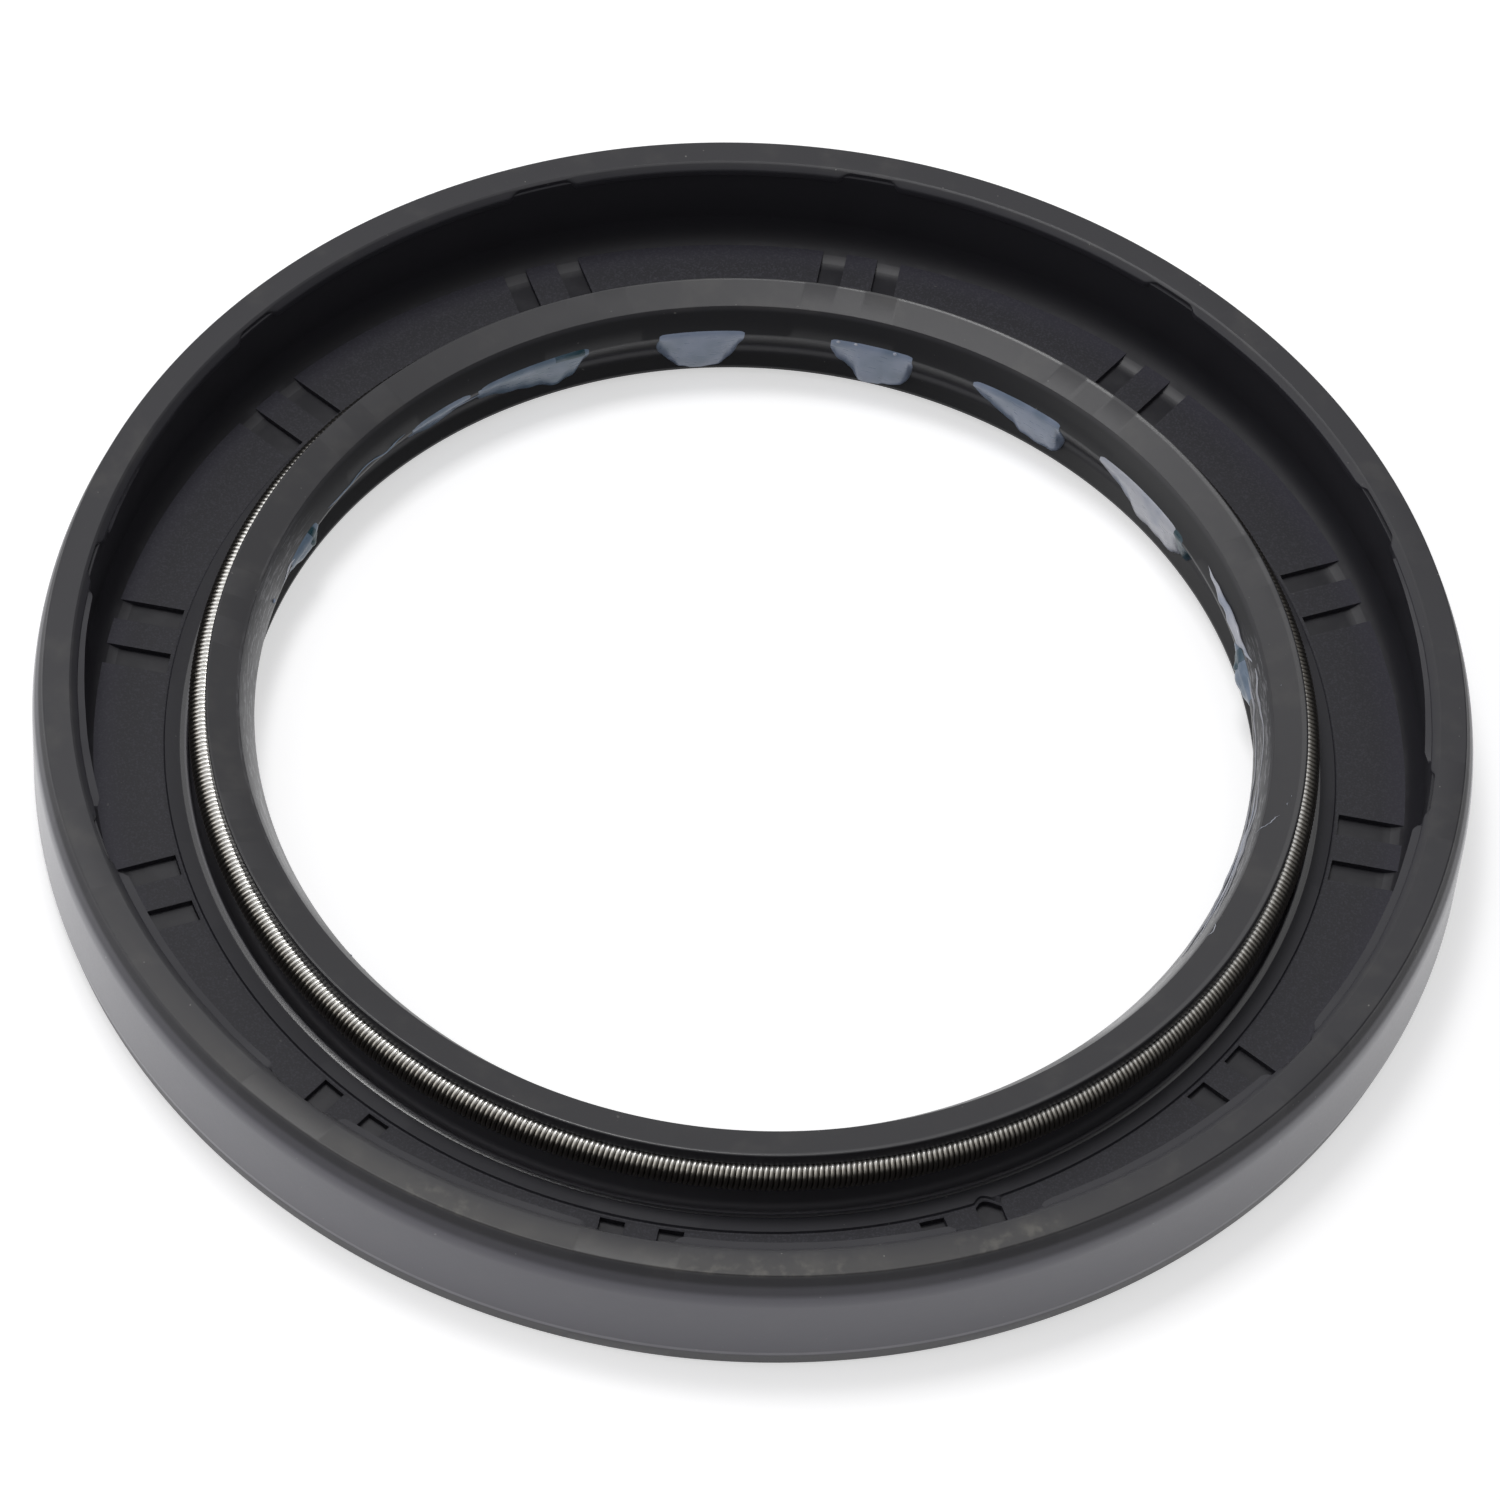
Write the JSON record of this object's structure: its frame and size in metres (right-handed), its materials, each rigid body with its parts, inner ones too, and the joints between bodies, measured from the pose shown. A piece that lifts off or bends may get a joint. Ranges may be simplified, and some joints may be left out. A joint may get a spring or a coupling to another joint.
{
  "type": "radial shaft seal",
  "caption": "Round rubber-covered shaft seal with a sprung main lip, a dust lip and an open channel, pressed into a housing round a turning shaft.",
  "frame": {"origin": "on the seal's axis at the middle of its flat back face, which it lies on", "axes": "+Z along the seal's axis, from the back face to the spring side; +X through the middle of one pair of mould pockets"},
  "size_m": [0.1, 0.1, 0.01],
  "materials": {
    "rubber": "satin, dark grey",
    "coated_steel": "smooth black bonding coat",
    "spring_wire": "bright drawn wire"
  },
  "bodies": {
    "root": {"rubber_body": "rubber", "steel_case": "coated_steel", "garter_spring": "spring_wire"}
  },
  "joints": []
}
